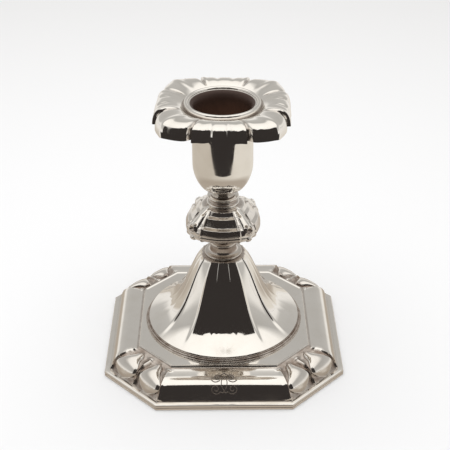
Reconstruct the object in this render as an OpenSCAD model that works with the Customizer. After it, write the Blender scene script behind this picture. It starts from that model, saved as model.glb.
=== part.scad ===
// Table candlestick in sheet silver: a weighted octagonal foot, a fluted trumpet column, a lobed knop,
// an egg-shaped socket and a loose nozzle with a scalloped drip pan. Everything below the nozzle is
// clamped by one tie rod that runs from a washer in the base to a nut in the bottom of the socket.

/* [Foot] */
// Width across the flats of the foot
foot_w = 102; // [84:1:130]
// Length of each long side of the octagonal foot
foot_side = 56.2; // [46:0.2:68]
// Height of the wire under the foot
wire_h = 2.6; // [2:0.1:4]
// Width of the ledge between the wire's edge and the border
ledge_w = 2.1; // [1:0.1:3]
// Depth of the sloping border, from the wire's edge to the plate
border_w = 14.9; // [12:0.1:18]
// Height of the flat plate above the table
plate_z = 11.05; // [9:0.05:14]
// Height of the bright lip around the plate
lip_h = 0.35; // [0.2:0.05:0.6]
// How far each gadroon on the cut corners swells
gadroon_h = 1.7; // [0.8:0.1:2.2]
// Thickness of the stamped sheet
sheet = 0.7; // [0.5:0.05:0.9]

/* [Column] */
// Width of flat plate left outside the ring moulding
plate_margin = 1.7; // [1:0.1:3]
// Height of the ring moulding up to the column's seat
ring_h = 1.55; // [1.2:0.05:2.5]
// Width of the ring moulding
ring_w = 3; // [2.5:0.1:4]
// Height of the fluted column
column_h = 32.3; // [27:0.1:40]
// Radius of the column's shoulder under the collar
column_top_r = 9.2; // [8.8:0.1:11]
// Depth of the flutes, as a share of the radius
flute = 0.09; // [0.03:0.01:0.12]
// Height of the turned collar on the column
collar_h = 9.6; // [8:0.1:12]
// Radius of the collar's lower ring
collar_r = 8; // [7.4:0.1:8.6]

/* [Knop] */
// Radius of the knop to the ribs on its diagonals
knop_r = 16.9; // [14:0.1:20]
// How far the knop's four panels lie in from its ribs, as a share of the radius
knop_panel = 0.07; // [0.03:0.01:0.1]
// Height of the knop's lower half
knop_low_h = 5.5; // [4.5:0.1:7]
// Height of the knop's upper half
knop_top_h = 9.4; // [8:0.1:11.5]
// Turn of the knop about the column
knop_turn = -5; // [-10:1:10]
// Height of the spool above the knop
spool_h = 3.6; // [3:0.1:4.5]
// Radius of the spool's rings
spool_r = 6.8; // [6:0.1:7.4]

/* [Socket] */
// Diameter of the candle
candle_d = 22; // [20:0.1:26]
// Radial room around the candle
candle_gap = 0.2; // [0.1:0.05:0.4]
// Depth of the straight part of the candle hole
bore_l = 21.8; // [18:0.1:27]
// Thickness of the sleeve that holds the candle
sleeve_t = 0.5; // [0.4:0.05:0.8]
// Radial room between the sleeve and the socket
sleeve_gap = 0.08; // [0.05:0.01:0.1]
// Thickness of the socket wall
cup_t = 0.67; // [0.5:0.01:1]
// Height of the turned foot under the socket
socket_foot_h = 4.5; // [3.6:0.1:5.5]
// Height of the rounded bottom of the socket
bowl_h = 10.5; // [9:0.1:12.6]

/* [Nozzle] */
// Turn of the loose nozzle about the column
nozzle_turn = -3; // [-10:1:10]
// Height of the funnel mouth above the socket
mouth_h = 4.1; // [3.6:0.1:5]
// Flare of the funnel mouth, in radius
mouth_flare = 2; // [1.2:0.1:2.4]
// Width of the bead around the mouth
bead_w = 2.2; // [1.6:0.1:2.6]
// Depth of the pan's hollow below the top of the bead
hollow_drop = 1.2; // [1.1:0.05:1.8]
// Thickness of the pan
pan_t = 0.6; // [0.4:0.05:0.7]
// Radius of the drip pan to the middle of its four broad scallops
pan_r = 27; // [24.5:0.1:33]
// How much farther the points beside the broad scallops stand out
point_out = 1.8; // [0.8:0.1:2.4]
// How much farther the points on the diagonals stand out
corner_out = 4.9; // [2.6:0.1:6]
// Rise of the pan's crest above its hollow
crest_h = 2.6; // [1.6:0.1:3.4]
// Drop of the pan's rolled edge from its crest
roll_h = 6.1; // [4.8:0.1:7.4]

/* [Loading] */
// Radius of the tie rod
rod_r = 2.5; // [2:0.1:3]
// Radial room around the tie rod
rod_gap = 0.1; // [0.05:0.05:0.3]
// Width across the flats of the nuts
nut_w = 8; // [7.4:0.1:9.6]
// Height of the nuts
nut_h = 3; // [2.5:0.1:3.6]
// Radius of the load washer
washer_r = 12; // [9:0.5:14]
// Thickness of the washers
washer_t = 1.2; // [0.8:0.1:1.5]
// Thickness of the closing plate
closing_t = 1; // [0.8:0.1:1.5]
// Thickness of the felt
felt_t = 0.8; // [0.6:0.1:1]
// Room between the filler and the sheet around it
filler_gap = 0.12; // [0.05:0.01:0.3]

/* [Hidden] */
$fn = 96;

// Levels, each piece standing on the one below
seat_z = plate_z + ring_h;
shoulder_z = seat_z + column_h;
knop_z = shoulder_z + collar_h;
girth_z = knop_z + knop_low_h;
spool_z = girth_z + knop_top_h;
foot_z = spool_z + spool_h;
cup_z = foot_z + socket_foot_h;
bore_r = candle_d / 2 + candle_gap;
sleeve_r = bore_r + sleeve_t;
cup_in_r = sleeve_r + sleeve_gap;
cup_r = cup_in_r + cup_t;
sleeve_floor_z = cup_z + bowl_h + sleeve_t;
rim_z = sleeve_floor_z + bore_l;

// Outline of the foot: half its width, half a long side, and the plate inside the border
half_w = foot_w / 2;
half_side = foot_side / 2;
ring_r = half_w - border_w - plate_margin;
skirt_r = ring_r - 1.4;
seat_r = ring_r - ring_w;
wire_w = ledge_w + 1.5;
lap = 0.05;
rest_gap = 0.02;
stud_r = rod_r + rod_gap;
fit_r = stud_r + 0.6;
nut_room = 1.5;
felt_inset = 0.6;
// Angles from a panel's middle to its ridges, ribs, points and the dips beside the points
ridge_a = 30;
rib_a = 9;
point_a = 21.5;
dip_a = 26;

// ---- curves and sheet-metal shells ----

function mix(a, b, t) = a + (b - a) * t;
function reversed(v) = [for (i = [len(v) - 1:-1:0]) v[i]];
// Distance from the middle of the nearest panel, 0 to 45 degrees
function fold(a) = abs((a + 405) % 90 - 45);
// Azimuths round a four-sided piece, with every crease at a step
function azimuths(creases, steps) = [for (q = [0:3]) for (i = [0:len(creases) - 2]) for (k = [0:steps - 1])
    90 * q + mix(creases[i], creases[i + 1], k / steps)];
// Outward normal of a profile at point i, lengthened at corners so that the sheet keeps its thickness
function side(p, i) = let (d = p[i + 1] - p[i]) [d[1], -d[0]] / norm(d);
function miter(p, i) = let (a = side(p, max(i - 1, 0)), b = side(p, min(i, len(p) - 2)))
    (a + b) / (1 + a * b);

// A sheet of one thickness whose outer face follows profile; place() turns [r, z], the share t along the
// profile and a station on the outline into a point
module formed(profile, t, stations, place) {
    n = len(profile);
    m = len(stations);
    outer = [for (i = [0:n - 1]) [profile[i], i / (n - 1)]];
    inner = [for (i = [0:n - 1]) [profile[i] - t * miter(profile, i), i / (n - 1)]];
    loop = concat(outer, reversed(inner));
    points = [for (s = loop) for (a = stations) place(s[0], s[1], a)];
    faces = [for (i = [0:2 * n - 1]) for (j = [0:m - 1])
        let (i2 = (i + 1) % (2 * n), j2 = (j + 1) % m)
        for (f = [[i * m + j, i2 * m + j, i * m + j2], [i * m + j2, i2 * m + j, i2 * m + j2]]) f];
    polyhedron(points, faces);
}

module turned(profile) rotate_extrude() polygon(profile);

module bored(r = stud_r) difference() {
    children();
    cylinder(r = r, h = 4 * rim_z, center = true);
}

// A bead or cove as points along an arc, from one angle to the other
function bend(c, r, from, to, n = 6) =
    [for (i = [0:n]) let (a = mix(from, to, i / n)) c + r * [cos(a), sin(a)]];

// The foot's octagon, shrunk by d all round
function octagon(d) = let (w = half_w - d, s = half_side - d * (sqrt(2) - 1))
    [for (a = [0:90:270]) for (e = [-s, s]) [w * cos(a) - e * sin(a), w * sin(a) + e * cos(a)]];

module slab(d, z, h) translate([0, 0, z]) linear_extrude(h) polygon(octagon(d));

// ---- the weighted foot ----

module felt_pad() color("darkgreen") slab(wire_w + felt_inset, 0, felt_t);

module closing_plate() color("gray") slab(wire_w + lap, felt_t, closing_t);

module foot_wire() color("silver") difference() {
    union() {
        slab(0, 0, wire_h * 0.45);
        slab(0.35, 0, wire_h * 0.55);
        slab(0, wire_h * 0.55, wire_h * 0.45);
    }
    slab(wire_w, -1, wire_h + 2);
}

// Border profile: a steep swelling side, a broad crest, a hollow, then the plate's lip
crest_z = plate_z - 0.75;
function border() = concat(
    [[-ledge_w, wire_h], [-ledge_w, wire_h + 0.6]],
    [for (i = [1:6]) let (a = 15 * i) [-ledge_w - 7.4 * (1 - cos(a)), mix(wire_h + 0.6, crest_z, sin(a))]],
    [[-border_w + 2, crest_z - 0.35], [-border_w + 0.4, crest_z - 0.7], [-border_w + 0.2, plate_z + lip_h],
     [-border_w - 0.5, plate_z + lip_h], [-border_w - 0.75, plate_z], [-border_w - 1.2, plate_z]]);

// Swelling of the gadroons at share t along the border
function swell(t) = gadroon_h * max(0, sin(180 * min(1, t / 0.72)));
function lobe(u) = sqrt(abs(sin(180 * u)));
// Stations on the outline: long sides have flat values 0 to 1, cut corners 1 to 2, plus two per quadrant
foot_stations = [for (q = [0:3]) for (k = [0:23]) [q, k < 8 ? k / 8 : 1 + (k - 8) / 16]];

// A point on the octagon at inset -p[0]; the gadroons lift it along the slope of the corner
function on_foot(p, t, s) = let (
    w = half_w + p[0], e = half_side + p[0] * (sqrt(2) - 1), u = s[1] - 1,
    g = s[1] > 1 ? swell(t) * lobe(2 * u) : 0,
    flat = s[1] <= 1 ? [w, mix(-e, e, s[1])] : [mix(w, e, u), mix(e, w, u)] + 0.35 * g * [1, 1],
    a = 90 * s[0])
    [flat[0] * cos(a) - flat[1] * sin(a), flat[0] * sin(a) + flat[1] * cos(a), p[1] + 0.6 * g];

module base_shell() color("silver") {
    formed(border(), sheet, foot_stations, function(p, t, s) on_foot(p, t, s));
    bored(seat_r) slab(border_w + 1.2 - lap / 5, plate_z - sheet, sheet);
}

// Cast in place inside the sheet, with a pocket below for the washer and nut
pocket_z = felt_t + closing_t + 0.5 + nut_h + washer_t;
function column_r(t) = skirt_r
    - (skirt_r - column_top_r) * (0.513 * (1 - exp(-6.1 * t)) + 0.378 * t + 0.109 * pow(t, 8));
module pitch_filler() color("saddlebrown") difference() {
    floor_z = felt_t + closing_t;
    core = [for (i = [1:10]) let (t = i / 11)
        [column_r(t) * (1 - 2 * flute) - 2 * sheet - filler_gap, seat_z + column_h * t]];
    union() {
        slab(ledge_w + 5.2, floor_z, crest_z - sheet - 2.4 - floor_z);
        slab(border_w + 1.8, floor_z, plate_z - sheet - filler_gap - floor_z);
        turned(concat([[0, floor_z], [core[0][0], floor_z]], core, [[0, core[9][1]]]));
    }
    cylinder(r = stud_r, h = 4 * rim_z, center = true);
    cylinder(r = washer_r + nut_room, h = 2 * pocket_z, center = true);
}

module load_washer() color("dimgray") bored() translate([0, 0, pocket_z - washer_t])
    cylinder(r = washer_r, h = washer_t);

module nut(z) color("dimgray") translate([0, 0, z]) difference() {
    cylinder(d = nut_w / cos(30), h = nut_h, $fn = 6);
    translate([0, 0, -1]) cylinder(r = rod_r + lap, h = nut_h + 2);
}

module bottom_nut() nut(pocket_z - washer_t - nut_h);
rod_bottom = pocket_z - washer_t - nut_h - 0.3;
cup_floor = cup_z + cup_t;
module tie_rod() color("dimgray") translate([0, 0, rod_bottom])
    cylinder(r = rod_r, h = cup_floor + washer_t + nut_h + 1 - rod_bottom);

// ---- the column ----

module dome_ring() color("silver") turned(concat(
    [[seat_r, plate_z], [ring_r - 0.3, plate_z]],
    bend([ring_r - 0.3, plate_z + 0.3], 0.3, -90, 90, 4),
    [[ring_r - 0.6, plate_z + 0.7]],
    bend([ring_r - 0.85, plate_z + 0.95], 0.3, -60, 120, 4),
    [[ring_r - 1.3, seat_z], [seat_r, seat_z]]));

// Wide panels between ridges, each with a raised rib between two hollows, and swelling corner panels
function fluted(a, depth) = let (b = fold(a), c = b - ridge_a) b < ridge_a
    ? 1 - depth * (1 - pow(b / ridge_a, 2)) + (b < rib_a ? 0.5 * depth * (1 - pow(b / rib_a, 2)) : 0)
    : 1 - depth * 0.9 * sqrt(sin(180 * c / (90 - 2 * ridge_a))) * (1 - c / ridge_a);

function column_profile() = concat([[skirt_r, seat_z]],
    [for (i = [0:11]) let (t = pow(i / 11, 1.35)) [column_r(t), seat_z + 0.7 + (column_h - 0.7) * t]],
    [[fit_r, shoulder_z]]);

module column_shell() color("silver")
    formed(column_profile(), sheet, azimuths([-45, -ridge_a, -rib_a, rib_a, ridge_a, 45], 4),
        function(p, t, a) let (k = fluted(a, flute * min(1, 4 * t) * (t > 0.95 ? 0 : 1)))
            [p[0] * k * cos(a), p[0] * k * sin(a), p[1]]);

module lower_collar() color("silver") bored() turned(concat(
    [[0, shoulder_z], [collar_r - 0.5, shoulder_z]],
    bend([collar_r - 0.5, shoulder_z + 0.5], 0.5, -90, 90),
    bend([collar_r - 0.9, shoulder_z + 2.6], 1.6, -90, -180),
    [[collar_r - 2.5, shoulder_z + 4.2]],
    bend([collar_r - 2.8, shoulder_z + 5.3], 0.6, -90, 90),
    bend([collar_r - 2.4, shoulder_z + 7.1], 1, -120, -200),
    [[5.4, knop_z], [0, knop_z]]));

// ---- the knop, two raised halves ----

// Shallow panels that rise to a ridge at each side, with a swelling rib on each diagonal
function ribbed(a, depth) = let (b = fold(a)) b < ridge_a
    ? 1 - depth * (1 - 0.7 * pow(b / ridge_a, 3))
    : 1 - depth * (0.6 - 0.6 * sin(180 * (b - ridge_a) / (90 - 2 * ridge_a)));
knop_stations = azimuths([-45, -ridge_a, 0, ridge_a, 45], 4);
function on_knop(p, t, a, depth) = let (k = ribbed(a, depth)) [p[0] * k * cos(a), p[0] * k * sin(a), p[1]];

module knop_lower() color("silver") rotate(knop_turn)
    formed([[fit_r, knop_z], [5.6, knop_z], [7, knop_z + 0.7], [knop_r * 0.62, knop_z + 1.7],
            [knop_r * 0.86, knop_z + 2.4], [knop_r * 0.97, knop_z + 3.1], [knop_r, knop_z + 3.7],
            [knop_r, girth_z]],
        sheet, knop_stations,
        function(p, t, a) on_knop(p, t, a, t < 0.4 ? 0 : knop_panel * min(1, 5 * (t - 0.4))));

module knop_spacer() color("dimgray") bored(stud_r) translate([0, 0, knop_z + sheet])
    cylinder(r = fit_r + 1.2, h = knop_low_h + knop_top_h - 2 * sheet);

module knop_upper() color("silver") rotate(knop_turn)
    formed([[knop_r, girth_z], [knop_r, girth_z + 1.8], [knop_r * 0.965, girth_z + 2.6],
            [knop_r * 0.8, girth_z + 4.7], [knop_r * 0.79, girth_z + 5.1], [knop_r * 0.58, girth_z + 7.7],
            [knop_r * 0.56, girth_z + 8.1], [spool_r + 0.3, spool_z], [fit_r, spool_z]],
        sheet, knop_stations,
        function(p, t, a) on_knop(p, t, a, t > 0.8 ? 0 : knop_panel * min(1, 3 * (0.8 - t))));

module spool_collar() color("silver") bored() turned(concat(
    [[0, spool_z], [spool_r - 0.4, spool_z]],
    bend([spool_r - 0.4, spool_z + 0.4], 0.4, -90, 90),
    bend([spool_r - 0.4, spool_z + spool_h / 2], spool_h / 2 - 0.8, -90, -270),
    bend([spool_r - 0.5, foot_z - 0.4], 0.4, -90, 90),
    [[0, foot_z]]));

// ---- the socket ----

// Radius of the bowl at height z above its lower edge, an ellipse that ends upright
function bowl(z, r) = r * sqrt(1 - pow((bowl_h - z) / (1.41 * bowl_h), 2));

module socket_foot() color("silver") bored() turned(concat(
    [[0, foot_z], [spool_r - 0.8, foot_z]],
    [for (i = [0:6]) [mix(spool_r - 0.8, cup_r * 0.62, pow(i / 6, 2)), foot_z + 0.3 + 3.2 * i / 6]],
    bend([cup_r * 0.62, cup_z - 0.5], 0.5, -90, 90),
    [[0, cup_z]]));

module socket_cup() color("silver") {
    outer = [for (i = [0:11]) let (z = bowl_h * i / 11) [bowl(z, cup_r), cup_z + z]];
    inner = [for (i = [11:-1:1]) let (z = bowl_h * i / 11) [bowl(z, cup_in_r), cup_z + z]];
    bored() turned(concat([[0, cup_z]], outer,
        [[cup_r, rim_z - 2.2]], bend([cup_r, rim_z - 1.5], 0.7, -90, 90),
        [[cup_r, rim_z], [cup_in_r, rim_z]], inner,
        [[bowl(bowl_h / 11, cup_in_r) - 0.6, cup_floor], [0, cup_floor]]));
}

module socket_washer() color("dimgray") bored() translate([0, 0, cup_floor])
    cylinder(r = nut_w / 2 + 1, h = washer_t);

module top_nut() nut(cup_floor + washer_t);

// ---- the loose nozzle ----

mouth_z = rim_z + mouth_h;
mouth_r = bore_r + mouth_flare;
collar_out_r = mouth_r + sleeve_t;
bead_z = mouth_z - bead_w / 2;
hollow_z = mouth_z - hollow_drop;
seat_rest_z = rim_z + rest_gap;

// The mouth opens along a quarter of an ellipse, and the sleeve hangs from the socket's rim by a shoulder
module nozzle_sleeve() color("silver") turned(concat(
    [[0, sleeve_floor_z - sleeve_t], [sleeve_r, sleeve_floor_z - sleeve_t], [sleeve_r, seat_rest_z],
     [cup_r, seat_rest_z], [collar_out_r, hollow_z - pan_t], [collar_out_r, bead_z]],
    [for (a = [90:-15:0]) [bore_r + mouth_flare * (1 - cos(a)), mix(rim_z + pan_t, bead_z, sin(a))]],
    [[bore_r, sleeve_floor_z], [0, sleeve_floor_z]]));

module nozzle_bead() color("silver") turned(concat(
    [[mouth_r, bead_z]],
    bend([mouth_r + bead_w / 2, bead_z], bead_w / 2, 150, 0, 8),
    [[mouth_r + bead_w, hollow_z], [collar_out_r + lap, hollow_z], [collar_out_r + lap, bead_z]]));

// Half a turned-over rim outside the crest, and an easy slope down to the hollow inside it
hollow_r = mouth_r + bead_w + 0.8;
hem = 0.5;
function pan_profile() = let (top = hollow_z + crest_h, edge = top - roll_h, roll = (pan_r - hollow_r) * 0.51)
    concat([[pan_r, edge], [pan_r, edge + hem]],
    [for (a = [15:15:90]) [pan_r - roll * (1 - cos(a)), edge + hem + (roll_h - hem) * sin(a)]],
    [for (i = [1:6]) let (t = i / 6)
        [mix(pan_r - roll, hollow_r, t), mix(top, hollow_z, (1 - cos(180 * t)) / 2)]],
    [[collar_out_r + lap, hollow_z]]);

// How far the outline stands out at azimuth a: broad scallops of three soft swellings, points beside them,
// a dip beyond each point, and a rise to the corner on the diagonal
dip = 1;
function stand_out(a) = let (b = fold(a))
    b < point_a ? point_out * pow(b / point_a, 4) - 0.25 * (1 - cos(540 * b / point_a))
    : b < dip_a ? mix(point_out, point_out - dip, (b - point_a) / (dip_a - point_a))
    : mix(point_out - dip, corner_out, pow((b - dip_a) / (45 - dip_a), 1.2));

module nozzle_pan() color("silver") rotate(nozzle_turn)
    formed(pan_profile(), pan_t, azimuths([-45, -dip_a, -point_a, point_a, dip_a, 45], 6),
        function(p, t, a) let (r = p[0] + stand_out(a) * max(0, p[0] - hollow_r) / (pan_r - hollow_r))
            [r * cos(a), r * sin(a), p[1]]);

felt_pad();
closing_plate();
foot_wire();
base_shell();
pitch_filler();
load_washer();
bottom_nut();
tie_rod();
dome_ring();
column_shell();
lower_collar();
knop_lower();
knop_spacer();
knop_upper();
spool_collar();
socket_foot();
socket_cup();
socket_washer();
top_nut();
nozzle_sleeve();
nozzle_bead();
nozzle_pan();
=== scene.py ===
import math
import bpy
from mathutils import Matrix


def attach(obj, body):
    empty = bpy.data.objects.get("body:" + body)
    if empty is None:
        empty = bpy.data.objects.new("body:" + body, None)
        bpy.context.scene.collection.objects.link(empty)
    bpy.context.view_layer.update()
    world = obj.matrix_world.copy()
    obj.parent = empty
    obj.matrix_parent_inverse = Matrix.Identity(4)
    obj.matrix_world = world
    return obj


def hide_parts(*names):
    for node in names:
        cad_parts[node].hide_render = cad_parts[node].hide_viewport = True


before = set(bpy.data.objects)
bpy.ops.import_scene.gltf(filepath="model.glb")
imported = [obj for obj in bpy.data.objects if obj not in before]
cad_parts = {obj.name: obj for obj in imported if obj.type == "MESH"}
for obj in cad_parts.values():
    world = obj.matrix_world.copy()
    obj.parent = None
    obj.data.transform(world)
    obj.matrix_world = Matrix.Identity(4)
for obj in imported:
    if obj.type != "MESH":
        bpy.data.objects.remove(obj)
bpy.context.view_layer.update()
mm = 0.001
scene = bpy.context.scene


# Camera, placed in millimetres and turned in degrees

view = {"lens": 83.2, "place": (-0.8, -380.5, 279.9), "down": 30.25, "yaw": -0.24, "roll": -0.24,
        "clip": 0.01}

def setCamera():
    bpy.ops.object.camera_add(location=[c * mm for c in view["place"]])
    camera = bpy.context.object
    camera.name = "camera"
    turn = (Matrix.Rotation(math.radians(view["yaw"]), 3, "Z")
            @ Matrix.Rotation(math.radians(90 - view["down"]), 3, "X")
            @ Matrix.Rotation(math.radians(view["roll"]), 3, "Z"))
    camera.rotation_euler = turn.to_euler()
    camera.data.lens = view["lens"]
    camera.data.clip_start = view["clip"]
    scene.camera = camera


# Shader maths: a socket that can be added, scaled and limited

class Value:
    def __init__(self, finish, socket):
        self.finish = finish
        self.socket = socket

    def math(self, operation, *others):
        node = self.finish.tree.nodes.new("ShaderNodeMath")
        node.operation = operation
        for i, other in enumerate(others):
            self.finish.feed(node.inputs[i], other)
        return Value(self.finish, node.outputs[0])

    def __add__(self, other):
        return self.math("ADD", self, other)

    def __radd__(self, other):
        return self.math("ADD", other, self)

    def __rsub__(self, other):
        return self.math("SUBTRACT", other, self)

    def __mul__(self, other):
        return self.math("MULTIPLY", self, other)

    def __rmul__(self, other):
        return self.math("MULTIPLY", other, self)

    def clamped(self):
        return self.math("MINIMUM", self.math("MAXIMUM", self, 0.0), 1.0)


class Finish:
    def __init__(self, name):
        self.material = bpy.data.materials.new(name)
        self.material.use_nodes = True
        self.tree = self.material.node_tree
        self.shader = self.tree.nodes["Principled BSDF"]

    def feed(self, socket, value):
        if isinstance(value, Value):
            self.tree.links.new(value.socket, socket)
        else:
            socket.default_value = value

    def node(self, kind, settings=None, inputs=None, out=0):
        node = self.tree.nodes.new(kind)
        for key, setting in (settings or {}).items():
            setattr(node, key, setting)
        for key, value in (inputs or {}).items():
            self.feed(node.inputs[key], value)
        return Value(self, node.outputs[out])

    def place(self):
        return self.node("ShaderNodeTexCoord", out="Object")

    def stretched(self, scale):
        return self.node("ShaderNodeMapping", inputs={"Vector": self.place(), "Scale": scale})

    # Noise with patches of about one size in millimetres
    def cloud(self, size, detail=3, roughness=0.5, vector=None):
        inputs = {"Vector": vector or self.place(), "Scale": 1 / (size * mm), "Detail": detail,
                  "Roughness": roughness}
        return self.node("ShaderNodeTexNoise", inputs=inputs)

    def between(self, value, low, high):
        return self.node("ShaderNodeMapRange", inputs={"Value": value, "From Min": low, "From Max": high})

    def tint(self, share, first, second):
        return self.node("ShaderNodeMix", {"data_type": "RGBA"}, {0: share, 6: first, 7: second}, out=2)

    def part(self, vector, axis):
        return self.node("ShaderNodeSeparateXYZ", inputs={0: vector}, out=axis)

    def attribute(self, name):
        return self.node("ShaderNodeAttribute", {"attribute_name": name}, out="Fac")

    def bump(self, height, strength, distance, under=None):
        inputs = {"Height": height, "Strength": strength, "Distance": distance * mm}
        if under:
            inputs["Normal"] = under
        return self.node("ShaderNodeBump", inputs=inputs)

    def set(self, **inputs):
        for key, value in inputs.items():
            self.feed(self.shader.inputs[key.replace("_", " ")], value)


# The room, in metres: a white floor, a soft lamp, and air whose light goes by height,
# bright near the floor, dimmer at the walls and white at the ceiling

room = {"floorSize": 8.0, "floorTone": (0.825, 0.835, 0.86), "floorRough": 0.9,
        "lampPlace": (-0.03, 0.03, 0.56), "lampSize": 0.6, "lampPower": 1.45, "lampTone": (0.97, 0.985, 1.0),
        "airTint": (1.0, 0.975, 0.93),
        "air": [(0.0, 0.93), (0.12, 0.88), (0.27, 0.56), (0.60, 0.50), (0.67, 0.68), (0.75, 1.06),
                (1.0, 1.20)]}

# Glowing cards that only the silver mirrors, as painted reflections: pale lit paper around the foot, with a
# painted contact shadow close to it and its light brighter to the right, and a dark card lying and a dark
# wall standing in front;
# wallTop gives the wall's height at places from left to right
cards = {"above": 0.0002, "reach": 1.6, "paperWide": 3, "tableWide": 4, "paperEnd": -0.155,
         "paperLightLeft": (0.60, 0.545, 0.47, 1), "paperLightRight": (0.80, 0.755, 0.68, 1),
         "lightSideways": (-0.12, 0.12), "paperContactShadow": (0.47, 0.41, 0.345, 1), "contactShadowFade": (0.088, 0.126),
         "paperLightFar": (0.90, 0.87, 0.83, 1), "far": (0.24, 0.5),
         "darkTone": (0.036, 0.031, 0.029, 1), "wallPlace": -0.46,
         "wallTop": [(-0.60, 0.72), (-0.34, 0.80), (-0.26, 1.10), (-0.2, 0.86), (-0.12, 0.70), (-0.03, 0.84),
                     (0.02, 0.80), (0.1, 0.64), (0.18, 0.82), (0.26, 1.10), (0.34, 0.80), (0.6, 0.72)]}

def mirrorCard(name, width, height, place, turn, material):
    bpy.ops.mesh.primitive_plane_add(size=1, location=place, rotation=turn)
    card = bpy.context.object
    card.name = name
    card.scale = (width, height, 1)
    bpy.ops.object.transform_apply(location=True, rotation=True, scale=True)
    card.data.materials.append(material)
    card.visible_camera = False
    card.visible_diffuse = False
    card.visible_shadow = False
    return card


# Gives off its colour and mirrors nothing
def glowing(finish, colour):
    finish.set(Base_Color=(0, 0, 0, 1), Specular_IOR_Level=0.0, Emission_Color=colour, Emission_Strength=1.0)
    return finish.material


# Painted reflection of the lit paper: dimmer to the left, brighter to the right and far off, with a painted
# contact shadow close to the foot
def paperReflectionMaterial():
    f = Finish("paperReflectionGlow")
    corner = f.place()
    side = f.between(f.part(corner, "X"), *cards["lightSideways"])
    reach = f.node("ShaderNodeVectorMath", {"operation": "LENGTH"}, {0: corner}, out="Value")
    sideLight = f.tint(side, cards["paperLightLeft"], cards["paperLightRight"])
    sideLight = f.tint(f.between(reach, *cards["far"]), sideLight, cards["paperLightFar"])
    return glowing(f, f.tint(f.between(reach, *cards["contactShadowFade"]), cards["paperContactShadow"], sideLight))


def setCards():
    reach, end, above = cards["reach"], cards["paperEnd"], cards["above"]
    # Near-black glowing cards seen only in the silver: painted dark reflections in front of the foot
    dark = glowing(Finish("darkReflectionGlow"), cards["darkTone"])
    level, upright = (0, 0, 0), (math.radians(90), 0, 0)
    mirrorCard("paperReflectionCard", cards["paperWide"], reach, (0, end + reach / 2, above), level,
               paperReflectionMaterial())
    mirrorCard("darkLyingReflection", cards["tableWide"], reach, (0, end - reach / 2, above), level, dark)
    for (x0, high0), (x1, high1) in zip(cards["wallTop"], cards["wallTop"][1:]):
        middle, high = (x0 + x1) / 2, (high0 + high1) / 2
        strip = mirrorCard("darkFront", x1 - x0, high, (middle, cards["wallPlace"], high / 2), upright, dark)
        for corner in strip.data.vertices:
            if corner.co.z > high / 2:
                corner.co.z = high0 if corner.co.x < middle else high1


def setAir():
    world = bpy.data.worlds.new("air")
    scene.world = world
    world.use_nodes = True
    tree = world.node_tree
    way = tree.nodes.new("ShaderNodeTexCoord")
    parts = tree.nodes.new("ShaderNodeSeparateXYZ")
    ramp = tree.nodes.new("ShaderNodeValToRGB")
    tree.links.new(way.outputs["Generated"], parts.inputs[0])
    tree.links.new(parts.outputs["Z"], ramp.inputs["Fac"])
    tree.links.new(ramp.outputs["Color"], tree.nodes["Background"].inputs["Color"])
    for place, tone in room["air"][1:-1]:
        ramp.color_ramp.elements.new(place)
    for stop, (place, tone) in zip(ramp.color_ramp.elements, room["air"]):
        stop.position = place
        stop.color = (*[tone * t for t in room["airTint"]], 1)


def setStage():
    bpy.ops.mesh.primitive_plane_add(size=room["floorSize"], location=(0, 0, 0))
    floor = bpy.context.object
    floor.name = "floor"
    paper = Finish("paper")
    paper.set(Base_Color=(*room["floorTone"], 1), Roughness=room["floorRough"], Specular_IOR_Level=0.0)
    floor.data.materials.append(paper.material)
    setAir()
    bpy.ops.object.light_add(type="AREA", location=room["lampPlace"])
    lamp = bpy.context.object
    lamp.name = "softbox"
    lamp.data.shape = "SQUARE"
    lamp.data.size = room["lampSize"]
    lamp.data.energy = room["lampPower"] * math.pi * room["lampSize"] ** 2
    lamp.data.color = room["lampTone"]
    lamp.visible_glossy = False
    setCards()
    scene.view_settings.view_transform = "Standard"


# Outlines are points of radius and height, in millimetres

def arc(centre, radius, start, end, steps):
    angles = [math.radians(start + (end - start) * i / steps) for i in range(steps + 1)]
    return [(centre[0] + radius * math.cos(a), centre[1] + radius * math.sin(a)) for a in angles]


# A smooth line through a few points
def smoothLine(points, steps):
    ends = [points[0], *points, points[-1]]
    line = []
    for p0, p1, p2, p3 in zip(ends, ends[1:], ends[2:], ends[3:]):
        for k in range(steps):
            t = k / steps
            weights = (-0.5 * t + t * t - 0.5 * t ** 3, 1 - 2.5 * t * t + 1.5 * t ** 3,
                       0.5 * t + 2 * t * t - 1.5 * t ** 3, 0.5 * t ** 3 - 0.5 * t * t)
            line.append(tuple(sum(w * p[i] for w, p in zip(weights, (p0, p1, p2, p3))) for i in (0, 1)))
    return line + [points[-1]]


def mix(a, b, t):
    return a + (b - a) * t


def ease(t):
    t = max(0.0, min(1.0, t))
    return t * t * (3 - 2 * t)


# A bump of height 1 around a middle
def swell(x, middle, wide):
    return math.exp(-((x - middle) / wide) ** 2)


# Marks: each point with its share t of the length and its outward normal
def measured(points):
    lengths = [0.0]
    for a, b in zip(points, points[1:]):
        lengths.append(lengths[-1] + math.hypot(b[0] - a[0], b[1] - a[1]))
    marks = []
    for i, p in enumerate(points):
        before = points[max(i - 1, 0)]
        after = points[min(i + 1, len(points) - 1)]
        dr, dz = after[0] - before[0], after[1] - before[1]
        long = math.hypot(dr, dz) or 1.0
        marks.append({"r": p[0], "z": p[1], "t": lengths[i] / lengths[-1], "out": dz / long,
                      "up": -dr / long})
    return marks


# Closes a sheet of one thickness behind its outer line
def walled(points, thickness):
    outer = measured(points)
    inner = [dict(m, r=m["r"] - thickness * m["out"], z=m["z"] - thickness * m["up"])
             for m in reversed(outer)]
    return outer + inner + outer[:1]


making = {"lineWeld": 1e-7, "turnWeld": 2e-7, "smooth": 38}
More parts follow.
